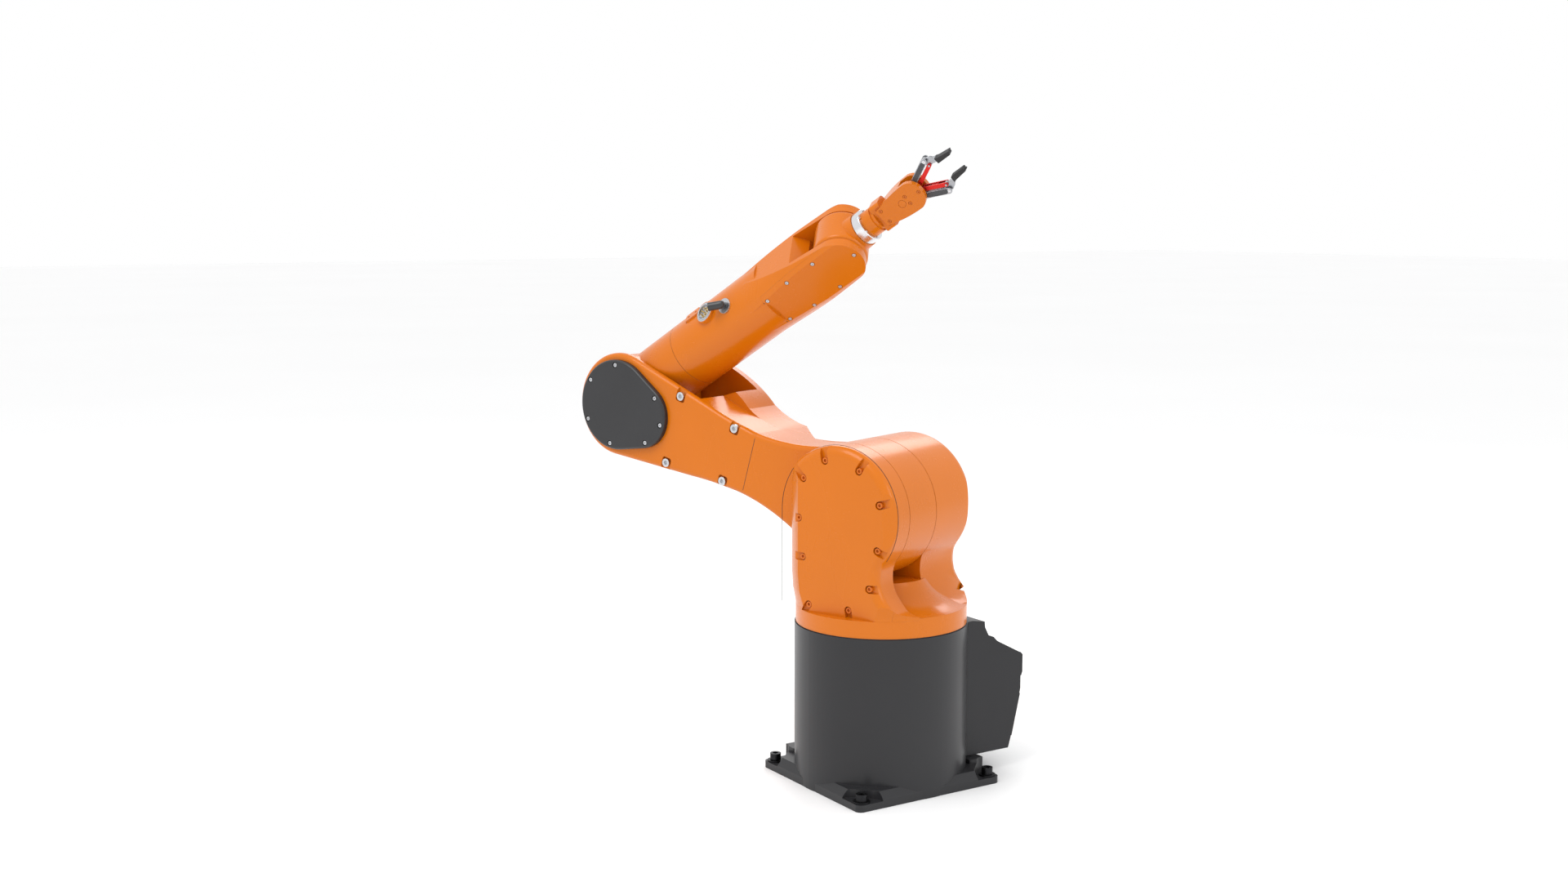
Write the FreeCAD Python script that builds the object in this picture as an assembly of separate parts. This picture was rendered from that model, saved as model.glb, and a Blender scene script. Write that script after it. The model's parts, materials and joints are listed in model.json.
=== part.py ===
import FreeCAD, Part
import math
import os
from FreeCAD import Matrix, Placement, Rotation, Vector

# Six-axis articulated robot arm on a round base, with a two-finger linkage gripper.
# Millimetres, +Z up.  Origin: axis of the turntable at the underside of the foot plate.
# +X points away from the rear connector box.

# ---- driving dimensions -------------------------------------------------------------
# posture of the stored arm, degrees
TURN_1 = 111.27        # turntable, from +X
LINK_TILT = 164.0      # link arm above the turntable's forward direction
FOREARM_TILT = 31.8    # forearm above the same direction
ROLL_4 = 46.5          # forearm about its own axis
ROLL_6 = 14.0          # tool flange about its own axis

# kinematic lengths
AXIS2_FORWARD = -10.0
AXIS2_HEIGHT = 400.0
LINK_LENGTH = 455.0
ELBOW_OFFSET = 14.0
FOREARM_LENGTH = 450.0
FLANGE_REACH = 58.0

# base
PLATE_SIDE = 250.0
PLATE_THICK = 22.0
PLATE_RIM = 12.0
PLATE_CORNER_R = 9.0
BOLT_SPACING = 223.0
POCKET_FLOOR = 10.0
WASHER_THICK = 2.0
BASE_R = 126.0
BASE_TOP = 232.5
BASE_WALL = 9.0
BASE_TOP_WALL = 18.5
BEARING_SEAT_R = 84.0
BEARING_SPLIT_R = 70.0
RING_LOW = 216.0
CABLE_WELL_R = 40.0
BOX_HALF_WIDTH = 75.0
BOX_WALL = 4.0

# turntable and shoulder, laterals measured along the shoulder axis
TABLE_R = 124.4
TABLE_BOTTOM = 233.5
TABLE_SEAM = 258.0
ENVELOPE_R = 130.0
DRUM_R = 98.6
COVER_FACE = -108.5
COVER_BACK = -95.0
EAR_NEAR = -65.0
EAR_FAR = 6.7
FAR_FACE = 111.0
DRUM_GAP = 1.0
TRUNNION_R = 62.0
RUNNING_GAP = 0.05

# link arm
LINK_NEAR = 64.0
LINK_FAR = -66.0
FORK_HALF = 54.0
ELBOW_R = 80.0
FORK_CLEARANCE_R = 110.0
ELBOW_DRUM_R = 76.0
ELBOW_PIN_R = 30.0
ELBOW_COVER_THICK = 9.0
LINK_WALL = 10.0
# where the straight edge meets the elbow circle, degrees from the link's direction
ELBOW_TANGENT = 97
# half widths of the link arm along its length: (distance from axis 2, half width)
SLIM = [(120, 57.5), (190, 48.5), (235, 50.7), (290, 57.7)]
BULGED = [(120, 57.5), (190, 47), (225, 49), (256, 58), (275, 68.5), (298, 78), (335, 88),
          (385, 93)]

# forearm and wrist
TUBE_R = 52.0
TUBE_START = 131.0
EAR_HALF_WIDTH = 47.0
EAR_END_R = 38.0
EAR_SLOT_HALF = 31.0
WRIST_PIN_R = 16.0
WRIST_DRUM_R = 40.0
FLANGE_R = 25.0

# gripper, measured from the flange face along the tool axis
COUPLING_R = 20.0
BLOCK_START = 20.0
BLOCK_END = 37.0
GRIPPER_HALF = 12.5
SIDE_PLATE = 4.5
GRIPPER_NOSE = 104.0
FINGER_SLOT_HALF = 8.7
FINGER_ROOT = Vector(99.0, 0, 13.0)
KNUCKLE = Vector(130.0, 0, 27.0)
INNER_SHIFT = Vector(2.0, 0, -9.0)
FINGER_PIN_R = 1.55
PAD_START = 145.0
PAD_END = 167.0
PAD_CENTRE = 15.0

X_AXIS = Vector(1, 0, 0)
Y_AXIS = Vector(0, 1, 0)
Z_AXIS = Vector(0, 0, 1)

NODES = {}


# ---- helpers ------------------------------------------------------------------------
def frame(origin, x_axis, y_axis):
    """Placement whose local X and Y axes are the given unit vectors."""
    z_axis = x_axis.cross(y_axis)
    rows = []
    for k in range(3):
        rows += [x_axis[k], y_axis[k], z_axis[k], origin[k]]
    return Placement(Matrix(*rows, 0, 0, 0, 1))


def polar(radius, degrees, centre=(0.0, 0.0)):
    """Point in the XZ plane at an angle from +X towards +Z."""
    a = math.radians(degrees)
    return Vector(centre[0] + radius * math.cos(a), 0, centre[1] + radius * math.sin(a))


def at(x, z):
    return Vector(x, 0, z)


def box(x0, x1, y0, y1, z0, z1):
    return Part.makeBox(x1 - x0, y1 - y0, z1 - z0, Vector(x0, y0, z0))


def rod(radius, start, end):
    """Cylinder between two points."""
    axis = end - start
    return Part.makeCylinder(radius, axis.Length, start, axis)


def rod_x(radius, x0, x1, y=0.0, z=0.0):
    return rod(radius, Vector(x0, y, z), Vector(x1, y, z))


def rod_y(radius, y0, y1, x=0.0, z=0.0):
    return rod(radius, Vector(x, y0, z), Vector(x, y1, z))


def rod_z(radius, z0, z1, x=0.0, y=0.0):
    return rod(radius, Vector(x, y, z0), Vector(x, y, z1))


def ring_y(outer, inner, y0, y1, x=0.0, z=0.0):
    return rod_y(outer, y0, y1, x, z).cut(rod_y(inner, y0 - 1, y1 + 1, x, z))


def ring_z(outer, inner, z0, z1, x=0.0, y=0.0):
    return rod_z(outer, z0, z1, x, y).cut(rod_z(inner, z0 - 1, z1 + 1, x, y))


def polygon(points):
    return Part.Face(Part.makePolygon(points + points[:1]))


def spline(points, start_tangent=None, end_tangent=None):
    curve = Part.BSplineCurve()
    if start_tangent is None:
        curve.interpolate(points)
    else:
        curve.interpolate(points, InitialTangent=start_tangent, FinalTangent=end_tangent)
    return curve.toShape()


def line(a, b):
    return Part.LineSegment(a, b).toShape()


def arc(a, middle, b):
    return Part.Arc(a, middle, b).toShape()


def tangent_hull(big, small):
    """Outline of two circles (x, z, radius) and their outer tangents, in the XZ plane."""
    (x1, z1, r1), (x2, z2, r2) = big, small
    heading = math.degrees(math.atan2(z2 - z1, x2 - x1))
    spread = math.degrees(math.acos((r1 - r2) / math.hypot(x2 - x1, z2 - z1)))
    up, down = heading + spread, heading - spread
    a1, a2 = polar(r1, up, (x1, z1)), polar(r2, up, (x2, z2))
    b1, b2 = polar(r1, down, (x1, z1)), polar(r2, down, (x2, z2))
    edges = [line(a1, a2), arc(a2, polar(r2, heading, (x2, z2)), b2), line(b2, b1),
             arc(b1, polar(r1, heading + 180, (x1, z1)), a1)]
    return Part.Face(Part.Wire(edges))


def prism_y(face, y0, y1):
    """Extrude a face that lies in the XZ plane from y0 to y1."""
    moved = face.copy()
    moved.translate(Vector(0, y0, 0))
    return moved.extrude(Vector(0, y1 - y0, 0))


def edges_on_plane(shape, axis, value):
    """Edges whose every point has the given coordinate along one axis (0, 1 or 2)."""
    found = []
    for edge in shape.Edges:
        box_ = edge.BoundBox
        low = (box_.XMin, box_.YMin, box_.ZMin)[axis]
        high = (box_.XMax, box_.YMax, box_.ZMax)[axis]
        if abs(low - value) < 0.01 and abs(high - value) < 0.01:
            found.append(edge)
    return found


def fuse(shapes):
    first, rest = shapes[0], shapes[1:]
    return first.multiFuse(rest).removeSplitter() if rest else first


def cap_screw(radius, head, shank_radius, shank, socket_radius):
    """Socket head screw along +Y: head from y=0 outwards (towards -Y), shank into +Y."""
    body = rod_y(radius, -head, 0).fuse(rod_y(shank_radius, 0, shank))
    return body.removeSplitter().cut(hex_prism(socket_radius, -head - 1, -head * 0.45))


def hex_prism(radius, y0, y1):
    corners = [polar(radius, 60 * k) for k in range(6)]
    return prism_y(polygon(corners), y0, y1)


def moved(shape, offset):
    copy = shape.copy()
    copy.translate(offset)
    return copy


def mirror_y(shape):
    return shape.mirror(Vector(0, 0, 0), Y_AXIS)


def mirror_z(shape):
    return shape.mirror(Vector(0, 0, 0), Z_AXIS)


def store(name, shapes, placement):
    """Keep one node: a solid, or a group of separate solids, set in its frame."""
    if not isinstance(shapes, list):
        shapes = [shapes]
    solids = []
    for shape in shapes:
        for solid in shape.Solids:
            placed = solid.copy()
            placed.transformShape(placement.toMatrix())
            solids.append(placed)
    NODES[name] = solids[0] if len(solids) == 1 else Part.makeCompound(solids)


# ---- frames -------------------------------------------------------------------------
WORLD = Placement()
ARM = Placement(Vector(0, 0, 0), Rotation(Z_AXIS, TURN_1))
LINK_DIR = polar(1, LINK_TILT)
FOREARM_DIR = polar(1, FOREARM_TILT)
AXIS2 = at(AXIS2_FORWARD, AXIS2_HEIGHT)
AXIS3 = AXIS2 + LINK_DIR * LINK_LENGTH
# link frame: X towards the elbow, Y towards the near side, Z to the upper side
LINK = ARM.multiply(frame(AXIS2, LINK_DIR, -Y_AXIS))
# elbow frame: X along the forearm, Y towards the far side
ELBOW = ARM.multiply(frame(AXIS3, FOREARM_DIR, Y_AXIS))
ROLLED = Rotation(X_AXIS, ROLL_4)
FOREARM = ELBOW.multiply(Placement(Vector(0, 0, ELBOW_OFFSET), ROLLED))
WRIST = FOREARM.multiply(Placement(Vector(FOREARM_LENGTH, 0, 0), Rotation()))
TOOL = WRIST.multiply(Placement(Vector(FLANGE_REACH, 0, 0), Rotation(X_AXIS, -ROLL_6)))


# ---- base ---------------------------------------------------------------------------
def corner_points(spacing):
    half = spacing / 2
    return [(sx * half, sy * half) for sx in (-1, 1) for sy in (-1, 1)]


def rounded_square(side, radius, z):
    """Closed wire of a square with round corners, centred on the turntable axis."""
    half = side / 2
    face = Part.makePlane(side, side, Vector(-half, -half, z))
    solid = face.extrude(Vector(0, 0, 1))
    uprights = [e for e in solid.Edges if e.BoundBox.ZLength > 0.9]
    solid = solid.makeFillet(radius, uprights)
    faces = [f for f in solid.Faces if f.BoundBox.ZLength < 0.01]
    return min(faces, key=lambda f: f.BoundBox.ZMin).OuterWire


def foot_plate():
    half = PLATE_SIDE / 2
    outer = rounded_square(PLATE_SIDE, PLATE_CORNER_R, 0)
    rim = Part.Face(outer).extrude(Vector(0, 0, PLATE_RIM))
    low = rounded_square(PLATE_SIDE, PLATE_CORNER_R, PLATE_RIM)
    high = rounded_square(PLATE_SIDE - 18, PLATE_CORNER_R, PLATE_THICK)
    crown = Part.makeLoft([low, high], True, True)
    ledge_reach, ledge_top, ledge_depth = 88, 28, 27
    ledges = [box(-half, -half + ledge_depth, -ledge_reach, ledge_reach, 0, ledge_top),
              box(-ledge_reach, ledge_reach, -half, -half + ledge_depth, 0, ledge_top)]
    plate = fuse([rim, crown] + ledges)
    for x, y in corner_points(BOLT_SPACING):
        pocket = tangent_hull((-15, 0, 17), (15, 0, 16.9))
        cutter = prism_y(pocket, -30, 0)
        cutter.rotate(Vector(0, 0, 0), X_AXIS, -90)
        cutter.rotate(Vector(0, 0, 0), Z_AXIS, 45 if x * y < 0 else -45)
        cutter.translate(Vector(x, y, POCKET_FLOOR))
        plate = plate.cut(cutter).cut(rod_z(5.5, -1, 40, x, y))
    return plate


def build_base():
    column = rod_z(BASE_R, 0, BASE_TOP)
    casting = fuse([foot_plate(), column])
    ceiling = BASE_TOP - BASE_TOP_WALL
    casting = casting.cut(rod_z(BASE_R - BASE_WALL, PLATE_RIM, ceiling))
    casting = casting.cut(rod_z(BEARING_SEAT_R, ceiling - 1, BASE_TOP + 1))
    cable_window = box(-BASE_R - 1, -100, -40, 40, 60, 160)
    casting = casting.cut(cable_window)
    store("base_casting", casting, WORLD)

    washers, bolts = [], []
    for x, y in corner_points(BOLT_SPACING):
        head_low = POCKET_FLOOR + WASHER_THICK
        washers.append(ring_z(12, 5.3, POCKET_FLOOR, head_low, x, y))
        head = rod_z(8, head_low, head_low + 10, x, y)
        socket = hex_prism(4.6, 0, 6)
        socket.rotate(Vector(0, 0, 0), X_AXIS, 90)
        socket.translate(Vector(x, y, POCKET_FLOOR + 6.5))
        shank = rod_z(5, 0.5, head_low, x, y)
        bolts.append(head.fuse(shank).removeSplitter().cut(socket))
    store("foot_washers", washers, WORLD)
    store("foot_bolts", bolts, WORLD)

    gear_flange = rod_z(96, ceiling - 6, ceiling)
    gear_body = rod_z(60, 160, ceiling - 6)
    store("axis1_gear_unit", fuse([gear_flange, gear_body]).cut(rod_z(18, 150, 230)), WORLD)
    motor = fuse([rod_z(38, 72, 160), box(-34, 34, -34, 34, 44, 72)])
    store("axis1_motor", motor, WORLD)
    outer_ring = ring_z(BEARING_SEAT_R, BEARING_SPLIT_R, RING_LOW, BASE_TOP)
    store("slewing_ring_outer", outer_ring, WORLD)


def box_outline():
    """Side outline of the rear connector box, in the XZ plane."""
    return [at(-80, 30), at(-181, 30), at(-185, 43), at(-203, 118), at(-203, 172),
            at(-157, 196), at(-150, 203), at(-141, 206), at(-134, 219), at(-133, 228),
            at(-112, 231.5), at(-80, 231.5)]


def build_connector_box():
    outline = polygon(box_outline())
    inner = outline.makeOffset2D(-BOX_WALL)
    half = BOX_HALF_WIDTH
    shell = prism_y(outline, -half, half)
    shell = shell.cut(prism_y(inner, -half + BOX_WALL, half - BOX_WALL))
    shell = shell.cut(rod_z(BASE_R, 0, 300))
    lid_window = box(-215, -195, -58, 58, 138, 168)
    shell = shell.cut(lid_window).common(box(-300, -60, -100, 100, 0, 300))
    rear_part = max(shell.Solids, key=lambda solid: solid.Volume)

    lower = polygon([at(-184, 44), at(-195, 44), at(-210, 106), at(-207, 113),
                     at(-201.0, 113)])
    lower_panel = prism_y(lower, -66, 66)
    upper = polygon([at(-203, 134), at(-212, 134), at(-214, 140), at(-214, 166),
                     at(-210, 170), at(-203, 170)])
    upper_panel = prism_y(upper, -66, 66)
    connector_x, signal_z, power_z = -216.0, 153.0, 84.0
    signal_hole = rod_x(14, -230, -190, -30, signal_z)
    upper_panel = upper_panel.cut(signal_hole)
    air_places = [(15, signal_z), (42, signal_z)]
    air_parts = []
    for y, z in air_places:
        upper_panel = upper_panel.cut(rod_x(6, -230, -190, y, z))
        stem = rod_x(5.95, -224, -198, y, z)
        collar = rod_x(8.5, -220, -214, y, z)
        bore = rod_x(3, -226, -206, y, z)
        air_parts.append(fuse([stem, collar]).cut(bore))
    store("connector_panel", upper_panel, WORLD)
    store("air_couplings", air_parts, WORLD)
    barrel = rod_x(13.95, connector_x - 4, -196, -30, signal_z)
    cavity = rod_x(11, connector_x - 5, -206, -30, signal_z)
    flange = rod_x(17, -216.5, -214, -30, signal_z)
    store("signal_connector", fuse([barrel, flange]).cut(cavity), WORLD)

    tilt = math.degrees(math.atan2(15, 62))
    power = fuse([rod_x(15.9, -26, 4), rod_x(19, -11, -8)]).cut(rod_x(13, -27, -5))
    hole = rod_x(15.95, -40, 12)
    for shape in (power, hole):
        shape.rotate(Vector(0, 0, 0), Y_AXIS, -tilt)
        shape.translate(Vector(-197.5, 26, power_z))
    box_body = rear_part.fuse(lower_panel).removeSplitter().cut(hole)
    store("power_connector", power, WORLD)
    for y, z in air_places:
        box_body = box_body.cut(rod_x(6, -230, -190, y, z))
    store("connector_box", box_body, WORLD)

    screws = []
    for y in (-61, 61):
        screws.append(rod_x(3, -216, -214, y, 140))
        screws.append(rod_x(3, -216, -214, y, 163))
    store("panel_screws", screws, WORLD)


# ---- turntable ----------------------------------------------------------------------
def ear_outline():
    """Side outline of the shoulder ears: drum on top, waist, and foot on the turntable."""
    left = AXIS2_FORWARD - DRUM_R
    top = Vector(AXIS2_FORWARD, 0, AXIS2_HEIGHT + DRUM_R)
    left_top = at(left, AXIS2_HEIGHT)
    centre = (AXIS2_FORWARD, AXIS2_HEIGHT)
    waist_angle = -38
    waist_start = polar(DRUM_R, waist_angle, centre)
    foot = at(108, 262)
    waist = spline([waist_start, at(61.5, 318), at(65, 297), at(80, 276), foot],
                   polar(1, waist_angle - 90), polar(1, -14))
    foot_low, left_low = at(108, TABLE_SEAM), at(left, TABLE_SEAM)
    upper_right = polar(DRUM_R, 26, centre)
    edges = [line(left_low, left_top), arc(left_top, polar(DRUM_R, 135, centre), top),
             arc(top, upper_right, waist_start), waist, line(foot, foot_low),
             line(foot_low, left_low)]
    return Part.Face(Part.Wire(edges))


def table_envelope():
    """Vertical body of revolution that trims the ears to the round turntable."""
    points = [at(0, TABLE_BOTTOM), at(TABLE_R, TABLE_BOTTOM), at(TABLE_R, TABLE_SEAM + 4),
              at(ENVELOPE_R - 1.5, 285), at(ENVELOPE_R, 310), at(ENVELOPE_R, 520), at(0, 520)]
    return polygon(points).revolve(Vector(0, 0, 0), Z_AXIS, 360)


def cover_screw_places():
    """Screw centres of the shoulder cover: five round the drum, five down the body."""
    centre = (AXIS2_FORWARD, AXIS2_HEIGHT)
    round_the_drum = [polar(78.5, a, centre) for a in (101.5, 58, 16)]
    round_the_drum += [polar(72, 137, centre), polar(61, 187.8, centre)]
    body = [at(62.6, 357.8), at(49.5, 302.3), at(14.9, 268), at(-53, 268), at(-63.5, 336.3)]
    return round_the_drum + body


def pedestal():
    """Round foot of the turntable, waisted up to the underside of the link arm's drum."""
    waist = arc(at(TABLE_R, TABLE_SEAM + 3), at(88, 275), at(66, 300))
    edges = [line(at(0, TABLE_BOTTOM), at(TABLE_R, TABLE_BOTTOM)),
             line(at(TABLE_R, TABLE_BOTTOM), at(TABLE_R, TABLE_SEAM + 3)), waist,
             line(at(66, 300), at(0, 300)), line(at(0, 300), at(0, TABLE_BOTTOM))]
    solid = Part.Face(Part.Wire(edges)).revolve(Vector(0, 0, 0), Z_AXIS, 360)
    drum = rod_y(DRUM_R + DRUM_GAP, EAR_NEAR, EAR_FAR, AXIS2_FORWARD, AXIS2_HEIGHT)
    near_cut = box(-200, 200, -200, EAR_NEAR, TABLE_SEAM, 400)
    return solid.cut(drum).cut(near_cut)


def build_turntable():
    outline = ear_outline()
    envelope = table_envelope()
    x2, z2 = AXIS2_FORWARD, AXIS2_HEIGHT
    far_ear = prism_y(outline, EAR_FAR, FAR_FACE)
    far_ear = far_ear.makeFillet(16, edges_on_plane(far_ear, 1, FAR_FACE))
    casting = fuse([pedestal(), far_ear.common(envelope)])
    casting = casting.cut(rod_y(70.3, EAR_FAR - 1, 46, x2, z2))
    casting = casting.cut(rod_y(50, 45, FAR_FACE + 1, x2, z2))
    casting = casting.cut(rod_y(62, 98, FAR_FACE + 1, x2, z2))
    casting = casting.cut(rod_y(80, 54, 88, x2, z2))
    foot_hollow = box(-84, 50, 20, 92, TABLE_BOTTOM - 1, 300)
    casting = casting.cut(foot_hollow.common(rod_z(112, TABLE_BOTTOM - 1, 300)))
    casting = casting.cut(rod_z(CABLE_WELL_R, TABLE_BOTTOM - 1, 262))
    store("rotating_column", casting, ARM)

    near = prism_y(outline, COVER_BACK, EAR_NEAR).common(envelope)
    boss = rod_y(TRUNNION_R - RUNNING_GAP, EAR_NEAR - 1, EAR_NEAR + 22, x2, z2)
    near = fuse([near, boss]).cut(rod_y(52, COVER_BACK + 6, EAR_NEAR + 23, x2, z2))
    near = near.cut(rod_y(40, COVER_BACK - 1, EAR_NEAR, x2, z2))

    cover = prism_y(outline, COVER_FACE, COVER_BACK)
    front_edges = [e for e in edges_on_plane(cover, 1, COVER_FACE)
                   if e.BoundBox.ZMax > TABLE_SEAM + 1]
    cover = cover.makeFillet(12.5, front_edges).common(envelope)
    cover = cover.cut(rod_y(56, COVER_BACK - 7, COVER_BACK + 1, x2, z2))
    screw = cap_screw(4.2, 4.5, 2.5, 12, 2.4)
    screws = []
    for place in cover_screw_places():
        seat = COVER_FACE + 6
        pocket = rod_y(5.8, COVER_FACE - 1, seat, place.x, place.z)
        outward = place - AXIS2 if place.z > 340 else at(place.x * 0.8, -60)
        if place.z > 270 and place.z <= 340:
            outward = at(place.x, 0)
        angle = math.degrees(math.atan2(outward.z, outward.x))
        slot = box(0, 40, COVER_FACE - 1, seat, -5.8, 5.8)
        slot.rotate(Vector(0, 0, 0), Y_AXIS, -angle)
        slot.translate(place)
        hole = rod_y(2.55, COVER_FACE - 1, COVER_BACK + 1, place.x, place.z)
        cover = cover.cut(fuse([pocket, slot])).cut(hole)
        near = near.cut(rod_y(2.55, COVER_BACK - 1, COVER_BACK + 8, place.x, place.z))
        screws.append(moved(screw, place + Vector(0, seat, 0)))
    store("shoulder_housing", near, ARM)
    store("shoulder_cover", cover, ARM)
    store("shoulder_cover_screws", screws, ARM)

    gear = fuse([rod_y(70, EAR_FAR, 45.5, x2, z2),
                 rod_y(TRUNNION_R - RUNNING_GAP, EAR_FAR - 22, EAR_FAR + 1, x2, z2)])
    store("axis2_gear_unit", gear.cut(rod_y(14, EAR_FAR - 30, 46, x2, z2)), ARM)
    store("axis2_motor", rod_y(46, 46, 97.5, x2, z2), ARM)
    cap = rod_y(61.5, 98, FAR_FACE + 3, x2, z2)
    cap = cap.makeFillet(2, edges_on_plane(cap, 1, FAR_FACE + 3))
    cap_screws = []
    for k in range(6):
        place = polar(54, 60 * k + 30, (x2, z2))
        screw = mirror_y(cap_screw(3.4, 3, 2, 8, 1.9))
        cap = cap.cut(rod_y(4.2, FAR_FACE, FAR_FACE + 4, place.x, place.z))
        cap = cap.cut(rod_y(2.05, 98, FAR_FACE + 1, place.x, place.z))
        cap_screws.append(moved(screw, place + Vector(0, FAR_FACE, 0)))
    store("motor_cap", cap, ARM)
    store("motor_cap_screws", cap_screws, ARM)

    inner_ring = ring_z(BEARING_SPLIT_R - RUNNING_GAP, 20, RING_LOW, TABLE_BOTTOM)
    store("slewing_ring_inner", inner_ring, ARM)


# ---- link arm -----------------------------------------------------------------------
def upper_edge(waist, end_radius):
    """Edges from the shoulder drum to the elbow circle: arcs through the waist points."""
    points = [polar(DRUM_R, 50)] + [at(x, z) for x, z in waist]
    edges = []
    for k in range(0, len(points) - 2, 2):
        edges.append(arc(points[k], points[k + 1], points[k + 2]))
    edges.append(line(points[-1], polar(end_radius, ELBOW_TANGENT, (LINK_LENGTH, 0))))
    return edges


def link_outline(upper, lower, end_radius):
    """Closed outline of the link arm, waisted between shoulder drum and elbow."""
    tip = at(LINK_LENGTH + end_radius, 0)
    centre = (LINK_LENGTH, 0)
    edges = upper_edge(upper, end_radius)
    edges += [edge.mirror(Vector(0, 0, 0), Z_AXIS) for edge in upper_edge(lower, end_radius)]
    for side in (1, -1):
        edges.append(arc(polar(end_radius, side * ELBOW_TANGENT, centre),
                         polar(end_radius, side * 45, centre), tip))
    edges.append(line(polar(DRUM_R, -50), polar(DRUM_R, 50)))
    return Part.Face(Part.Wire(Part.__sortEdges__(edges)))


def fork_gap():
    """Space between the fork's ears: round the elbow, opening upwards and downwards."""
    gap = rod_y(FORK_CLEARANCE_R, -FORK_HALF, FORK_HALF, LINK_LENGTH)
    wedge = polygon([at(352, 34), at(258, 92), at(258, 200), at(600, 200), at(600, -200),
                     at(258, -200), at(258, -92), at(352, -34)])
    return fuse([gap, prism_y(wedge, -FORK_HALF, FORK_HALF)])


def build_link():
    slim = link_outline(SLIM, SLIM, ELBOW_R)
    bulged = link_outline(BULGED, SLIM, ELBOW_R + 6)
    hub = rod_y(DRUM_R, -EAR_FAR + DRUM_GAP, LINK_NEAR)
    near_half = prism_y(slim, 0, LINK_NEAR)
    rim = [e for e in edges_on_plane(near_half, 1, LINK_NEAR) if len(e.Vertexes) == 2
           and not (isinstance(e.Curve, Part.Line) and e.BoundBox.XLength < 0.1)]
    near_half = near_half.makeFillet(7, rim)
    far_half = prism_y(bulged, LINK_FAR, 0)
    ramp = polygon([Vector(-200, LINK_FAR - 10, 0), Vector(-200, -EAR_FAR + DRUM_GAP, 0),
                    Vector(132, -EAR_FAR + DRUM_GAP, 0), Vector(200, LINK_FAR - 10, 0)])
    ramp_solid = moved(ramp, Vector(0, 0, -200)).extrude(Vector(0, 0, 400))
    far_half = far_half.cut(ramp_solid)
    far_half = far_half.cut(rod_y(131, LINK_FAR - 1, -EAR_FAR + DRUM_GAP))
    casting = fuse([hub, near_half.common(box(0, 600, 0, 70, -200, 200)), far_half])
    casting = casting.cut(fork_gap())
    casting = casting.cut(rod_y(TRUNNION_R, -200, 200))

    seam = [Vector(190, LINK_NEAR + 1, 0), Vector(190, LINK_NEAR - 1.5, 0),
            Vector(325, FORK_HALF, 0), Vector(600, FORK_HALF - 1, 0),
            Vector(600, LINK_NEAR + 1, 0)]
    plate_zone = moved(polygon(seam), Vector(0, 0, -200)).extrude(Vector(0, 0, 400))
    plate = near_half.common(plate_zone).cut(fork_gap())
    casting = casting.cut(plate_zone)
    pin_bore = rod_y(ELBOW_PIN_R, -200, 200, LINK_LENGTH)
    casting = casting.cut(pin_bore)
    plate = plate.cut(pin_bore)

    cavity_start, cavity_end = 110, 312
    hollow = polygon([at(cavity_start, 44), at(150, 40), at(190, 38), at(230, 40),
                      at(cavity_end - 20, 46), at(cavity_end, 40), at(cavity_end, -40),
                      at(cavity_end - 20, -46), at(230, -40), at(190, -38), at(150, -40),
                      at(cavity_start, -44)])
    casting = casting.cut(prism_y(hollow, LINK_WALL - EAR_FAR, FORK_HALF + 1))
    far_room = box(208, cavity_end + 1, LINK_FAR, LINK_WALL, -60, 60)
    casting = casting.cut(prism_y(hollow, LINK_FAR + LINK_WALL, LINK_WALL).common(far_room))
    store("axis3_motor", rod_y(32.5, LINK_FAR + LINK_WALL, 20, 262), LINK)

    bolts = []
    for x, z in ((230, 42), (230, -42), (340, 54), (340, -54)):
        seat = LINK_NEAR - 5
        in_fork = x > cavity_end
        shank = seat - FORK_HALF if in_fork else 26
        bolt = mirror_y(cap_screw(6.5, 6.5, 4, shank, 3.6))
        side = 1 if z > 0 else -1
        pocket = box(x - 8.5, x + 8.5, seat, 80, z - 8.5, z + 8.5)
        pocket = pocket.makeFillet(4, [e for e in pocket.Edges if e.BoundBox.YLength > 10])
        opening = box(x - 8.5, x + 8.5, seat, 80, min(z, z + side * 40), max(z, z + side * 40))
        cutter = fuse([pocket, opening])
        plate = plate.cut(cutter).cut(rod_y(4.05, 0, 80, x, z))
        casting = casting.cut(cutter).cut(rod_y(4.05, seat - shank - 1, 80, x, z))
        bolts.append(moved(bolt, Vector(x, seat, z)))
    store("plate_bolts", bolts, LINK)

    egg = tangent_hull((LINK_LENGTH, 0, 70), (LINK_LENGTH - 52, 0, 50))
    cover_top = LINK_NEAR + ELBOW_COVER_THICK
    cover = prism_y(egg, LINK_NEAR, cover_top)
    cover = cover.makeFillet(4, edges_on_plane(cover, 1, cover_top))
    inner = tangent_hull((LINK_LENGTH, 0, 52), (LINK_LENGTH - 48, 0, 32))
    cover = cover.cut(prism_y(inner, LINK_NEAR - 1, cover_top - 3))
    small = mirror_y(cap_screw(3.1, 3.2, 1.8, 7, 1.7))
    screws = []
    for x, z in elbow_cover_screw_places():
        seat = cover_top - 4
        cover = cover.cut(rod_y(4.3, seat, cover_top + 1, x, z))
        cover = cover.cut(rod_y(1.85, LINK_NEAR - 1, cover_top + 1, x, z))
        plate = plate.cut(rod_y(1.85, FORK_HALF - 2, LINK_NEAR + 1, x, z))
        screws.append(moved(small, Vector(x, seat, z)))
    store("elbow_cover", cover, LINK)
    store("elbow_cover_screws", screws, LINK)

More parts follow.
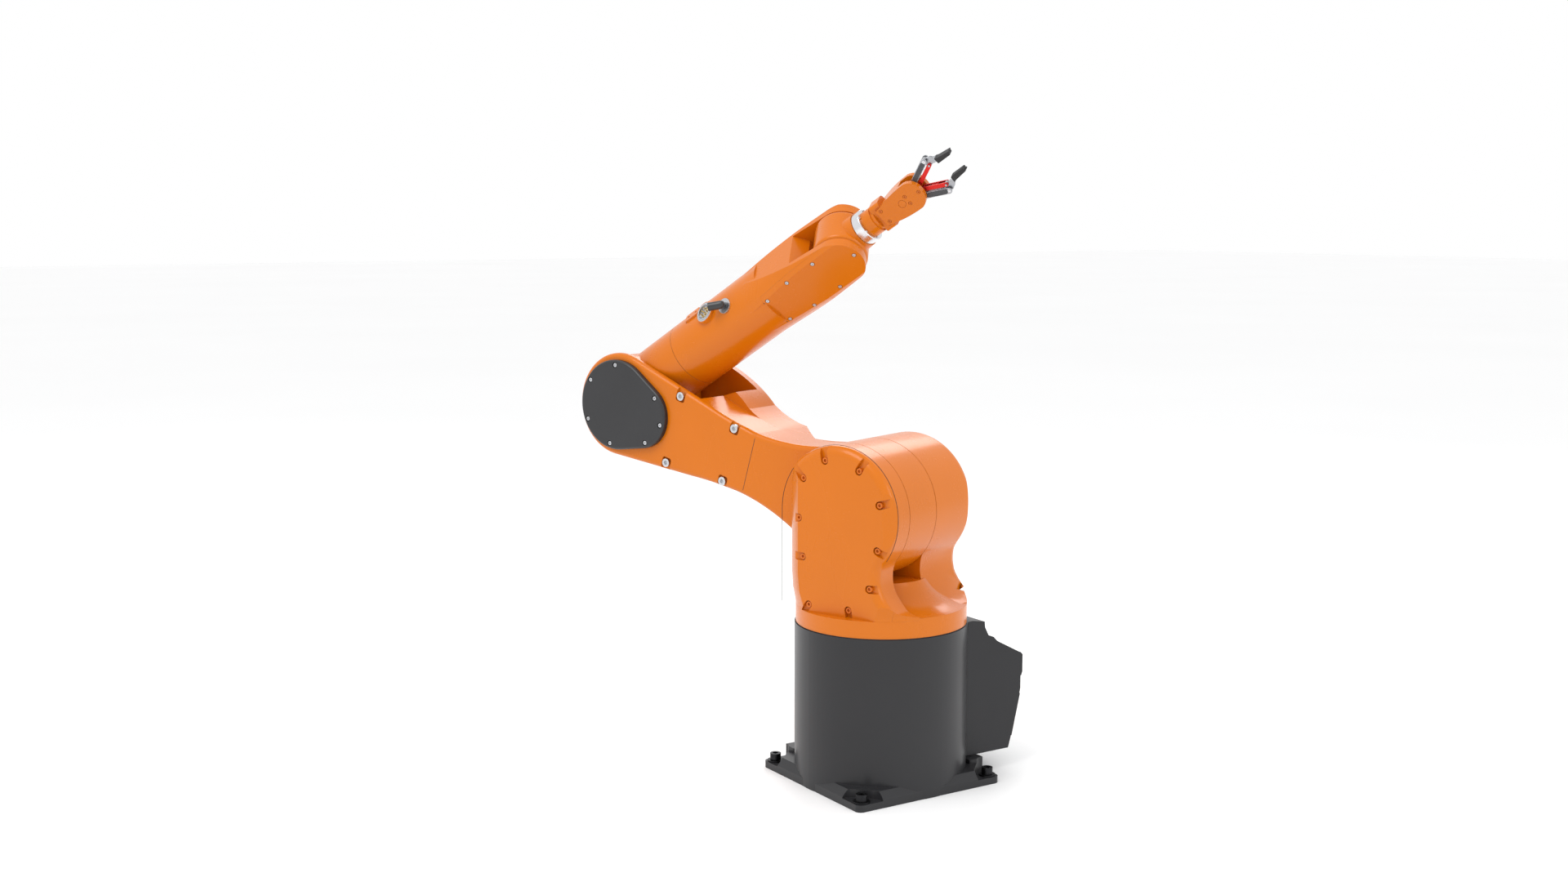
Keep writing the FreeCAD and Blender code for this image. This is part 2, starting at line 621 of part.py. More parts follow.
    cap_top = LINK_FAR - 4
    cap = rod_y(48, cap_top, LINK_FAR, LINK_LENGTH)
    cap = cap.makeFillet(2, edges_on_plane(cap, 1, cap_top))
    cap_screws = []
    for k in range(6):
        place = polar(41, 60 * k, (LINK_LENGTH, 0))
        cap = cap.cut(rod_y(2.05, cap_top - 1, LINK_FAR + 1, place.x, place.z))
        casting = casting.cut(rod_y(2.05, LINK_FAR - 1, LINK_FAR + 9, place.x, place.z))
        screw = cap_screw(3.4, 2.6, 2, 10, 1.9)
        cap_screws.append(moved(screw, place + Vector(0, cap_top, 0)))
    store("elbow_bearing_cap", cap, LINK)
    store("bearing_cap_screws", cap_screws, LINK)
    store("link_arm", casting, LINK)
    store("link_side_plate", plate, LINK)


def elbow_cover_screw_places():
    big = [polar(62, a, (LINK_LENGTH, 0)) for a in (75, 20, -40, -95)]
    small = [polar(42, a, (LINK_LENGTH - 52, 0)) for a in (120, 180, 240)]
    return [(p.x, p.z) for p in big + small]


# ---- elbow and forearm --------------------------------------------------------------
def build_elbow():
    drum = rod_y(ELBOW_DRUM_R, -FORK_HALF + 1, FORK_HALF - 1)
    drum = drum.makeFillet(8, edges_on_plane(drum, 1, -FORK_HALF + 1)
                           + edges_on_plane(drum, 1, FORK_HALF - 1))
    neck = rod_x(TUBE_R, 0, TUBE_START - 0.6, 0, ELBOW_OFFSET)
    housing = fuse([drum, neck])
    housing = housing.cut(rod_y(64, -44, 44))
    housing = housing.cut(rod_x(34, 60, TUBE_START + 1, 0, ELBOW_OFFSET))
    for y0, y1 in ((-FORK_HALF - 9.5, -44), (44, FORK_HALF + 9.5)):
        housing = fuse([housing, rod_y(ELBOW_PIN_R - RUNNING_GAP, y0, y1)])
    housing = housing.cut(rod_y(18, -70, 70))
    store("elbow_housing", housing, ELBOW)
    store("axis3_gear_unit", ring_y(41.5, 18, -44, 10), ELBOW)
    drive = fuse([rod_x(33.5, 96, TUBE_START - 2, 0, ELBOW_OFFSET),
                  rod_x(27, 62, 97, 0, ELBOW_OFFSET)])
    store("axis4_drive", drive, ELBOW)


def forearm_body():
    """Tube that flares into two flat-sided ears; the slot lets the tool fold back 120."""
    flare_start, flare_end, tip = 290, 395, 500
    tube = rod_x(TUBE_R, TUBE_START, flare_start + 1)
    waist = [at(flare_start, 0), at(flare_start, TUBE_R), at(flare_end, 57), at(tip, 57),
             at(tip, 0)]
    envelope = polygon(waist).revolve(Vector(0, 0, 0), X_AXIS, 360)
    ears = tangent_hull((300, 0, 51), (FOREARM_LENGTH, 0, EAR_END_R))
    ear_slab = prism_y(ears, -EAR_HALF_WIDTH, EAR_HALF_WIDTH).common(envelope)
    round_part = rod_x(TUBE_R, flare_start, flare_start + 30).common(envelope)
    body = fuse([tube, ear_slab, round_part])
    slot = rod_y(52, -EAR_SLOT_HALF, EAR_SLOT_HALF, FOREARM_LENGTH)
    mouth = box(FOREARM_LENGTH, 600, -EAR_SLOT_HALF, EAR_SLOT_HALF, -80, 80)
    notch = polygon([at(FOREARM_LENGTH, 0), at(402, 21), at(374, 70), at(600, 70),
                     at(600, -70), at(374, -70), at(402, -21)])
    return body.cut(fuse([slot, mouth, prism_y(notch, -EAR_SLOT_HALF, EAR_SLOT_HALF)]))


def ear_cover_zone():
    """Prism over one ear's cover, between two depths of the near side."""
    outline = tangent_hull((330, 0, 36), (FOREARM_LENGTH, 0, EAR_END_R + 1))
    front = polygon([at(318, -60), at(600, -60), at(600, 60), at(318, 60)])
    wide = polygon([at(318, -36.5), at(330, -36.5), at(330, 36.5), at(318, 36.5)])
    return outline.common(front).fuse(wide).removeSplitter().Faces[0]


def top_item(x, angle, radius):
    """Placement on the tube's surface: local Z leaves the tube, local X runs along it."""
    turn = Rotation(X_AXIS, angle)
    return Placement(turn.multVec(Vector(x, 0, radius)) - Vector(0, 0, 0), turn)


def build_forearm():
    body = forearm_body()
    zone = ear_cover_zone()
    cover_depth = 5
    split = EAR_HALF_WIDTH - cover_depth
    near_zone = prism_y(zone, -60, -split)
    far_zone = prism_y(zone, split, 60)
    near_cover = body.common(near_zone)
    far_cover = body.common(far_zone)
    body = body.cut(near_zone).cut(far_zone)
    body = body.cut(rod_x(44, TUBE_START + 14, 330)).cut(rod_x(34, TUBE_START - 1, 160))
    body = body.cut(rod_x(36, 329, 378))
    pin_bore = rod_y(WRIST_PIN_R, -200, 200, FOREARM_LENGTH)
    body = body.cut(pin_bore)

    screws_near, screws_far = [], []
    places = [(325, 23), (325, -23), (371, 28), (371, -28), (424, 28), (424, -28), (480, 0)]
    for x, z in places:
        seat = -EAR_HALF_WIDTH + 2.4
        screw = cap_screw(2.6, 2.6, 1.5, 7, 1.5)
        hole = rod_y(3.4, -70, seat, x, z)
        shank_hole = rod_y(1.55, -70, -EAR_HALF_WIDTH + 10, x, z)
        near_cover = near_cover.cut(hole).cut(shank_hole)
        far_cover = far_cover.cut(mirror_y(hole)).cut(mirror_y(shank_hole))
        body = body.cut(shank_hole).cut(mirror_y(shank_hole))
        placed = moved(screw, Vector(x, seat, z))
        screws_near.append(placed)
        screws_far.append(mirror_y(placed))

    connector_at = top_item(214, 14, TUBE_R - 4)
    seat_at = top_item(253, 26, TUBE_R - 4)
    plate_at = top_item(182, -6, TUBE_R - 2)
    boss = rod_z(17, -4, 8)
    boss.transformShape(connector_at.toMatrix())
    body = fuse([body, boss.cut(rod_x(44, 0, 400))])
    connector_bore = rod_z(13.5, -14, 20)
    connector_bore.transformShape(connector_at.toMatrix())
    seat_bore = rod_z(11.5, -14, 20)
    seat_bore.transformShape(seat_at.toMatrix())
    plate_bed = box(-15, 15, -8, 8, 0, 20)
    plate_bed.transformShape(plate_at.toMatrix())
    body = body.cut(connector_bore).cut(seat_bore).cut(plate_bed)
    store("forearm_casting", body, FOREARM)
    store("ear_cover_near", near_cover, FOREARM)
    store("ear_cover_far", far_cover, FOREARM)
    store("ear_cover_screws", screws_near + screws_far, FOREARM)

    socket = rod_z(13.5, -5, 9.5).cut(rod_z(11.5, 3.0, 10))
    face = rod_z(11.5, 3.0, 5)
    pins = []
    for k in range(8):
        a = math.radians(45 * k)
        x, y = 7.5 * math.cos(a), 7.5 * math.sin(a)
        face = face.cut(rod_z(1.3, 3.4, 6, x, y))
        pins.append(rod_z(1.1, 3.5, 8.2, x, y))
    for k in range(3):
        a = math.radians(120 * k + 20)
        x, y = 3.2 * math.cos(a), 3.2 * math.sin(a)
        face = face.cut(rod_z(1.3, 3.4, 6, x, y))
        pins.append(rod_z(1.1, 3.5, 8.2, x, y))
    on_connector = FOREARM.multiply(connector_at)
    store("round_connector", fuse([socket, face]), on_connector)
    store("connector_pins", pins, on_connector)
    on_seat = FOREARM.multiply(seat_at)
    store("air_port", rod_z(11.5, -5, 5.5).cut(rod_z(5.1, 1, 6)), on_seat)
    stem = rod_z(5, 1.2, 14)
    body_rod = rod(6.4, Vector(0, 0, 12), Vector(-16, 3, 22))
    knee = Part.makeSphere(6.4, Vector(0, 0, 12))
    store("air_elbow", fuse([stem, knee, body_rod]), on_seat)
    valve = box(-14.9, 14.9, -7.9, 7.9, 0, 4.2)
    valve = valve.makeFillet(3, [e for e in valve.Edges if e.BoundBox.ZLength > 4])
    valve = valve.cut(rod_z(1.9, 1, 6, -8, 0)).cut(rod_z(1.9, 1, 6, 8, 0))
    store("valve_plate", valve, FOREARM.multiply(plate_at))

    store("axis5_motor", rod_x(30, 246, 318), FOREARM)


# ---- wrist --------------------------------------------------------------------------
def build_wrist():
    half = EAR_SLOT_HALF - 0.7
    drum = rod_y(WRIST_DRUM_R, -half, half)
    drum = drum.makeFillet(6, edges_on_plane(drum, 1, -half) + edges_on_plane(drum, 1, half))
    neck = Part.makeCone(30, 26.5, FLANGE_REACH - 14, Vector(0, 0, 0), X_AXIS)
    housing = fuse([drum, neck]).cut(rod_y(20, -20, 20)).cut(rod_x(17, 0, FLANGE_REACH))
    pins = [rod_y(WRIST_PIN_R - RUNNING_GAP, -half - 10.5, -half + 6),
            rod_y(WRIST_PIN_R - RUNNING_GAP, half - 6, half + 10.5)]
    housing = fuse([housing] + pins)
    store("wrist_housing", housing, WRIST)


# ---- tool: flange, gripper and fingers ----------------------------------------------
def build_tool():
    ring = rod_x(FLANGE_R, -13.4, 0).cut(rod_x(8, -1, 1))
    store("tool_flange", ring.makeFillet(1.2, [outer_rim(ring, 0, FLANGE_R)]), TOOL)

    block = box(BLOCK_START, BLOCK_END, -13, 14, -22, 22)
    block = block.makeFillet(5, [e for e in block.Edges if e.BoundBox.XLength > 13])
    coupling = fuse([rod_x(COUPLING_R, 0, BLOCK_START - 4), rod_x(18, 0, BLOCK_START + 1), block])
    side_recess = box(27.9, 60, -20, -GRIPPER_HALF, -15.4, 15.4)
    coupling = coupling.cut(side_recess).cut(mirror_y(side_recess)).cut(rod_x(9, 8, 50))
    store("gripper_coupling", coupling, TOOL)

    half = GRIPPER_HALF
    outline = gripper_outline()
    behind_block = polygon([at(BLOCK_END, -60), at(200, -60), at(200, 60), at(BLOCK_END, 60)])
    body = prism_y(outline.common(behind_block), -half, half)
    finger_space = box(76, 130, -FINGER_SLOT_HALF, FINGER_SLOT_HALF, -40, 40)
    body = body.cut(finger_space).cut(rod_x(10, BLOCK_END - 1, 71))
    near_side = prism_y(outline, -half - SIDE_PLATE, -half)
    groove = ring_y(6, 5.2, -half - 5, -half - SIDE_PLATE + 0.5, 68)
    near_side = near_side.cut(groove)
    far_side = mirror_y(near_side)
    screws = []
    for x, z in ((35, 9.5), (35, -9.5), (78, 6), (78, -6), (99, 0)):
        screw = cap_screw(2.3, 1.8, 1.2, 7, 1.2)
        seat = -half - SIDE_PLATE + 1.6
        cutter = rod_y(2.7, -30, seat, x, z).fuse(rod_y(1.25, -30, seat + 8, x, z))
        near_side = near_side.cut(cutter)
        far_side = far_side.cut(mirror_y(cutter))
        body = body.cut(cutter).cut(mirror_y(cutter))
        NODES["gripper_coupling"] = NODES["gripper_coupling"].cut(in_tool(cutter)).cut(
            in_tool(mirror_y(cutter)))
        placed = moved(screw, Vector(x, seat, z))
        screws += [placed, mirror_y(placed)]
    for root in (FINGER_ROOT, FINGER_ROOT + INNER_SHIFT):
        pin_hole = rod_y(FINGER_PIN_R + 0.02, -half, half, root.x, root.z)
        body = body.cut(pin_hole).cut(mirror_z(pin_hole))
    store("gripper_body", body, TOOL)
    store("gripper_side_near", near_side, TOOL)
    store("gripper_side_far", far_side, TOOL)
    store("gripper_screws", screws, TOOL)
    build_fingers()


def outer_rim(shape, x, radius):
    """The circular edge of a given radius in the plane at x."""
    for edge in edges_on_plane(shape, 0, x):
        if abs(edge.BoundBox.YLength - 2 * radius) < 0.1:
            return edge
    return None


def in_tool(shape):
    copy = shape.copy()
    copy.transformShape(TOOL.toMatrix())
    return copy


def gripper_outline():
    """Side outline of the gripper body: narrow tail, swelling to a round nose."""
    tail, swell, nose = at(28, 13), at(52, 18.4), at(GRIPPER_NOSE, 0)
    shoulder, nose_side = at(88, 21.5), at(100, 14.5)
    edges = [line(at(28, -13), tail)]
    for flip in (False, True):
        half = [line(tail, swell), arc(swell, at(70, 20.8), shoulder),
                arc(shoulder, nose_side, nose)]
        edges += [edge.mirror(Vector(0, 0, 0), Z_AXIS) if flip else edge for edge in half]
    return Part.Face(Part.Wire(Part.__sortEdges__(edges)))


def link_bars(start, end, radius, inner_y, outer_y):
    """Two parallel bars joined by a web half way along."""
    outline = tangent_hull((start.x, start.z, radius), (end.x, end.z, radius - 0.01))
    middle = (start + end) * 0.5
    along = (end - start).normalize()
    web = box(-5, 5, -inner_y - 0.5, inner_y + 0.5, -radius + 1, radius - 1)
    web.rotate(Vector(0, 0, 0), Y_AXIS, -math.degrees(math.atan2(along.z, along.x)))
    web.translate(middle)
    bars = [prism_y(outline, inner_y, outer_y), prism_y(outline, -outer_y, -inner_y), web]
    return drill(fuse(bars), (start, end), FINGER_PIN_R + RUNNING_GAP)


def build_fingers():
    """Two four-bar fingers: outer link, inner link and a tip that stays parallel."""
    pins = []
    inner_root, inner_knuckle = FINGER_ROOT + INNER_SHIFT, KNUCKLE + INNER_SHIFT
    for flip, side in ((0, "upper"), (180, "lower")):
        turn = Placement(Vector(0, 0, 0), Rotation(X_AXIS, flip))
        place = TOOL.multiply(turn)
        outer = link_bars(FINGER_ROOT, KNUCKLE, 4.4, 5.5, 7.2)
        store(side + "_outer_link", outer, place)
        ahead = (KNUCKLE - FINGER_ROOT).normalize()
        near_end, far_end = FINGER_ROOT + ahead * 5, KNUCKLE - ahead * 5
        strip = tangent_hull((near_end.x, near_end.z, 3.4), (far_end.x, far_end.z, 3.39))
        cover = prism_y(strip, -8.4, -7.2)
        store(side + "_link_cover", [cover, mirror_y(cover)], place)
        inner = link_bars(inner_root, inner_knuckle, 3.0, 3.1, 5.2)
        store(side + "_inner_link", inner, place)
        store(side + "_fingertip", fingertip(KNUCKLE, inner_knuckle), place)
        store(side + "_pad", finger_pad(), place)
        for point in (FINGER_ROOT, inner_root):
            pin = rod_y(FINGER_PIN_R, -GRIPPER_HALF, GRIPPER_HALF, point.x, point.z)
            pin.transformShape(turn.toMatrix())
            pins.append(pin)
    store("finger_pins", pins, TOOL)


def drill(shape, points, radius):
    for point in points:
        shape = shape.cut(rod_y(radius, -30, 30, point.x, point.z))
    return shape


def fingertip(knuckle, inner_knuckle):
    """Tip: a thin knuckle plate on its two pins, and a wide arm that carries the pad."""
    web_half, arm_half = 2.8, 6.5
    knuckle_line = tangent_hull((knuckle.x, knuckle.z, 3.6),
                                (inner_knuckle.x, inner_knuckle.z, 2.9))
    plate = polygon([at(knuckle.x, knuckle.z + 3.0), at(knuckle.x + 9, knuckle.z),
                     at(PAD_START + 2, PAD_CENTRE + 4), at(PAD_START + 2, PAD_CENTRE + 1.9),
                     at(inner_knuckle.x + 1, PAD_CENTRE + 1.9)])
    arm = polygon([at(PAD_START - 4, PAD_CENTRE + 1.9), at(PAD_END + 1, PAD_CENTRE + 1.9),
                   at(PAD_END + 1, PAD_CENTRE + 3.4), at(PAD_START + 4, PAD_CENTRE + 5.4),
                   at(PAD_START - 2, PAD_CENTRE + 7.5)])
    pins = [rod_y(FINGER_PIN_R, -7.1, 7.1, p.x, p.z) for p in (knuckle, inner_knuckle)]
    return fuse([prism_y(knuckle_line, -web_half, web_half), prism_y(plate, -web_half, web_half),
                 prism_y(arm, -arm_half, arm_half)] + pins)


def finger_pad():
    outline = polygon([at(PAD_START, PAD_CENTRE - 2.3), at(PAD_END, PAD_CENTRE - 2.3),
                       at(PAD_END, PAD_CENTRE + 1.9), at(PAD_START, PAD_CENTRE + 1.9)])
    pad = prism_y(outline, -6.5, 6.5)
    front_edges = edges_on_plane(pad, 2, PAD_CENTRE - 2.3)
    return pad.makeFillet(1.4, front_edges)


# ---- run ----------------------------------------------------------------------------
def main():
    os.makedirs("parts", exist_ok=True)
    build_base()
    build_connector_box()
    build_turntable()
    build_link()
    build_elbow()
    build_forearm()
    build_wrist()
    build_tool()
    for name, shape in NODES.items():
        if not shape.isValid():
            print("not valid:", name)
        shape.exportStep(os.path.join("parts", name + ".step"))
    print(len(NODES), "nodes")


main()
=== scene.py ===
import json
import math
import bmesh
import bpy
from mathutils import Matrix, Vector


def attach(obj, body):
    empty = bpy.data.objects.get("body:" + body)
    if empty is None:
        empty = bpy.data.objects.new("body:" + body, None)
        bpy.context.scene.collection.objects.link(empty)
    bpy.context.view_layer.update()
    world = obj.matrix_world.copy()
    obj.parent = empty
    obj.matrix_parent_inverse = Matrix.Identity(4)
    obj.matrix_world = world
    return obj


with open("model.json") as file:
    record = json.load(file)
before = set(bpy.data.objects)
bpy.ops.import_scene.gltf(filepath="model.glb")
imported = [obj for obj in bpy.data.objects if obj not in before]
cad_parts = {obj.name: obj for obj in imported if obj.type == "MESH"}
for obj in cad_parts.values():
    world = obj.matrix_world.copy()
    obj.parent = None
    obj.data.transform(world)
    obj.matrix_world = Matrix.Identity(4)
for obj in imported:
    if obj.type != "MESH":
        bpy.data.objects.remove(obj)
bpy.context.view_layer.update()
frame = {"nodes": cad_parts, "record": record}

NODES = frame["nodes"]
SLOT_OF = {row["node"]: row["material_slot"] for row in frame["record"]["subparts"]}

# ---- kinematic frames -------------------------------------------------------------------
# Angles of the pose at rest, in degrees.
TURN_1 = 111.27
LINK_TILT = 164.0
FOREARM_TILT = 31.8
ROLL_4 = 46.5
ROLL_6 = 14.0

# Lengths and places, in millimetres.
MM = 0.001
AXIS2_X = -10
AXIS2_HEIGHT = 400
LINK_LENGTH = 455
ELBOW_OFFSET = 14
FOREARM_LENGTH = 450
FLANGE_REACH = 58


def shift(x, y, z):
    """Move given in millimetres."""
    return Matrix.Translation((x * MM, y * MM, z * MM))


def about(axis, degrees):
    """Turn about an axis of the frame."""
    return Matrix.Rotation(math.radians(degrees), 4, axis)


def basis(origin, x_axis, y_axis):
    """Frame with its origin and its X and Y axes given."""
    axes = Matrix((x_axis, y_axis, x_axis.cross(y_axis))).transposed().to_4x4()
    axes.translation = origin
    return axes


def tilt(degrees):
    """Direction in the arm's plane, from level towards up."""
    angle = math.radians(degrees)
    return Vector((math.cos(angle), 0, math.sin(angle)))


AXIS2 = Vector((AXIS2_X * MM, 0, AXIS2_HEIGHT * MM))
AXIS3 = AXIS2 + tilt(LINK_TILT) * (LINK_LENGTH * MM)

ARM = about("Z", TURN_1)
LINK = ARM @ basis(AXIS2, tilt(LINK_TILT), Vector((0, -1, 0)))
ELBOW = ARM @ basis(AXIS3, tilt(FOREARM_TILT), Vector((0, 1, 0)))
FOREARM = ELBOW @ shift(0, 0, ELBOW_OFFSET) @ about("X", ROLL_4)
WRIST = FOREARM @ shift(FOREARM_LENGTH, 0, 0)
TOOL = WRIST @ shift(FLANGE_REACH, 0, 0) @ about("X", -ROLL_6)
X_TO_Z = about("Y", -90)

# ---- materials ------------------------------------------------------------------------
EDGE_RADIUS = 0.7 * MM
BLACK = (0, 0, 0)
WHITE = (1, 1, 1)


class Nodes:
    """Short way to build a node tree."""

    def __init__(self, name):
        self.material = bpy.data.materials.new(name)
        self.material.use_nodes = True
        self.tree = self.material.node_tree
        self.shader = self.tree.nodes["Principled BSDF"]
        self.coords = self.add("ShaderNodeTexCoord").outputs["Object"]
        self.round = None

    def add(self, kind, **settings):
        node = self.tree.nodes.new(kind)
        for key, value in settings.items():
            setattr(node, key, value)
        return node

    def link(self, source, target):
        self.tree.links.new(source, target)

    def drive(self, **sources):
        """Links sources to the shader, base_color standing for Base Color."""
        for key, source in sources.items():
            self.link(source, self.shader.inputs[key.replace("_", " ").title()])

    def noise(self, scale, detail=4.0, rough=0.55, stretch=None):
        node = self.add("ShaderNodeTexNoise")
        node.inputs["Scale"].default_value = scale
        node.inputs["Detail"].default_value = detail
        node.inputs["Roughness"].default_value = rough
        vector = self.coords
        if stretch is not None:
            mapping = self.add("ShaderNodeMapping")
            mapping.inputs["Scale"].default_value = stretch
            self.link(self.coords, mapping.inputs["Vector"])
            vector = mapping.outputs["Vector"]
        self.link(vector, node.inputs["Vector"])
        return node.outputs["Fac"]

    def ramp(self, source, stops):
        """Colours in (place, colour) stops along a source."""
        node = self.add("ShaderNodeValToRGB")
        elements = node.color_ramp.elements
        while len(elements) < len(stops):
            elements.new(0.5)
        for element, (place, colour) in zip(elements, stops):
            element.position = place
            element.color = (*colour, 1)
        self.link(source, node.inputs["Fac"])
        return node.outputs["Color"]

    def rescale(self, source, to, over=(0.3, 0.7)):
        """Straight run between two values while the source crosses a range."""
        node = self.add("ShaderNodeMapRange")
        settings = {"From Min": over[0], "From Max": over[1], "To Min": to[0], "To Max": to[1]}
        for socket, value in settings.items():
            node.inputs[socket].default_value = value
        self.link(source, node.inputs["Value"])
        return node.outputs["Result"]

    def mix(self, factor, first, second):
        """First colour where the factor is 0, second where it is 1."""
        node = self.add("ShaderNodeMix", data_type="RGBA")
        sockets = {socket.identifier: socket for socket in node.inputs}
        self.link(factor, sockets["Factor_Float"])
        for colour, socket in ((first, sockets["A_Color"]), (second, sockets["B_Color"])):
            if isinstance(colour, tuple):
                socket.default_value = (*colour, 1)
            else:
                self.link(colour, socket)
        return next(s for s in node.outputs if s.identifier == "Result_Color")

    def combine(self, operation, first, second):
        """Sum or product of a source with a second source or a number."""
        node = self.add("ShaderNodeMath", operation=operation)
        self.link(first, node.inputs[0])
        if isinstance(second, float):
            node.inputs[1].default_value = second
        else:
            self.link(second, node.inputs[1])
        return node.outputs[0]

    def bump(self, height, strength, distance, normal=None):
        node = self.add("ShaderNodeBump")
        node.inputs["Strength"].default_value = strength
        node.inputs["Distance"].default_value = distance
        self.link(height, node.inputs["Height"])
        self.link(self.rounded() if normal is None else normal, node.inputs["Normal"])
        return node.outputs["Normal"]

    def rounded(self):
        """Normals that run round the edges, as on a casting or a broken edge."""
        if self.round is None:
            node = self.add("ShaderNodeBevel", samples=4)
            node.inputs["Radius"].default_value = EDGE_RADIUS
            self.round = node.outputs["Normal"]
        return self.round

    def edges(self):
        """1 on edges that the rounded normals bend across, 0 on open faces."""
        geometry = self.add("ShaderNodeNewGeometry")
        dot = self.add("ShaderNodeVectorMath", operation="DOT_PRODUCT")
        self.link(geometry.outputs["Normal"], dot.inputs[0])
        self.link(self.rounded(), dot.inputs[1])
        return self.rescale(dot.outputs["Value"], to=(1.0, 0.0), over=(0.80, 0.97))

    def beyond(self, place, start, end):
        """0 before start and 1 after end, in metres along local X of a frame."""
        along = place.to_3x3().col[0]
        dot = self.add("ShaderNodeVectorMath", operation="DOT_PRODUCT")
        self.link(self.coords, dot.inputs[0])
        dot.inputs[1].default_value = tuple(along)
        origin = along.dot(place.translation)
        return self.rescale(dot.outputs["Value"], (0.0, 1.0), (origin + start, origin + end))


def shades(colour, spread):
    """Darker and lighter neighbours of a colour."""
    dark = tuple(channel * (1 - spread) for channel in colour)
    light = tuple(min(1.0, channel * (1 + spread)) for channel in colour)
    return dark, light


def rub(nodes, patches, amount):
    """How far a surface is rubbed: on its edges only, and there in patches."""
    return nodes.combine("MULTIPLY", nodes.combine("MULTIPLY", nodes.edges(), patches), amount)


def paint(name, colour, worn, rough, peel, coat, spread, dust=0.05):
    """Sprayed paint: orange peel, slight colour drift, dust, fine scuffs, rubbed edges."""
    nodes = Nodes(name)
    dark, light = shades(colour, spread)
    drift = nodes.ramp(nodes.noise(5.0, detail=3.0), [(0.3, dark), (0.5, colour), (0.7, light)])
    specks = nodes.ramp(nodes.noise(260.0, detail=2.0), [(0.62, BLACK), (0.72, WHITE)])
    dusted = nodes.mix(nodes.combine("MULTIPLY", specks, dust), drift, light)
    patches = nodes.rescale(nodes.noise(40.0, detail=6.0), to=(0.0, 1.0), over=(0.5, 0.65))
    rubbed = rub(nodes, patches, 0.35)
    smears = nodes.noise(18.0, rough=0.5, stretch=(1.0, 1.0, 0.35))
    scuffs = nodes.noise(420.0, detail=3.0, rough=0.7, stretch=(1.0, 0.12, 1.0))
    gloss = nodes.rescale(smears, to=(rough * 0.94, rough * 1.10))
    scuffed = nodes.combine("ADD", gloss, nodes.rescale(scuffs, to=(0.0, 0.03), over=(0.6, 0.8)))
    fine = nodes.bump(nodes.noise(950.0, detail=2.0), peel, 0.12 * MM)
    coarse = nodes.bump(nodes.noise(70.0, detail=2.0), peel * 0.5, 0.3 * MM, fine)
    nodes.drive(base_color=nodes.mix(rubbed, dusted, worn), roughness=scuffed, normal=coarse)
    nodes.shader.inputs["Coat Weight"].default_value = coat
    nodes.shader.inputs["Coat Roughness"].default_value = 0.1
    nodes.shader.inputs["Specular IOR Level"].default_value = 0.28
    return nodes.material


def metal(name, colour, rough, scale, depth=0.12, spread=0.08):
    """Bare metal with fine tool marks, stains and small dents."""
    nodes = Nodes(name)
    dark, light = shades(colour, spread)
    stains = nodes.ramp(nodes.noise(24.0, detail=5.0), [(0.3, dark), (0.6, colour), (0.75, light)])
    marks = nodes.noise(scale, detail=5.0, rough=0.6)
    dents = nodes.noise(scale * 5, detail=2.0)
    fine = nodes.bump(marks, depth, 0.2 * MM)
    nodes.drive(base_color=nodes.mix(nodes.rescale(marks, to=(0.0, 0.35)), stains, dark),
                roughness=nodes.rescale(marks, to=(rough * 0.75, rough * 1.35)),
                normal=nodes.bump(dents, depth * 0.5, 0.1 * MM, fine))
    nodes.shader.inputs["Metallic"].default_value = 1.0
    return nodes.material


def plastic(name, colour, rough, texture, depth=0.25, spread=0.15, coat=0.0):
    """Moulded plastic or rubber with a fine eroded texture and rubbed, paler edges."""
    nodes = Nodes(name)
    dark, light = shades(colour, spread)
    tone = nodes.ramp(nodes.noise(9.0), [(0.3, dark), (0.5, colour), (0.72, light)])
    pale = tuple(min(1.0, channel * 2.4 + 0.02) for channel in colour)
    patches = nodes.rescale(nodes.noise(60.0, detail=5.0), to=(0.0, 1.0), over=(0.4, 0.65))
    rubbed = rub(nodes, patches, 0.5)
    grain = nodes.add("ShaderNodeTexVoronoi")
    grain.inputs["Scale"].default_value = texture
    nodes.link(nodes.coords, grain.inputs["Vector"])
    fine = nodes.bump(grain.outputs["Distance"], depth, 0.12 * MM)
    nodes.drive(base_color=nodes.mix(rubbed, tone, pale),
                roughness=nodes.rescale(nodes.noise(30.0, detail=5.0), to=(rough * 0.85, rough * 1.2)),
                normal=nodes.bump(nodes.noise(45.0, detail=2.0), depth * 0.3, 0.3 * MM, fine))
    nodes.shader.inputs["Coat Weight"].default_value = coat
    return nodes.material


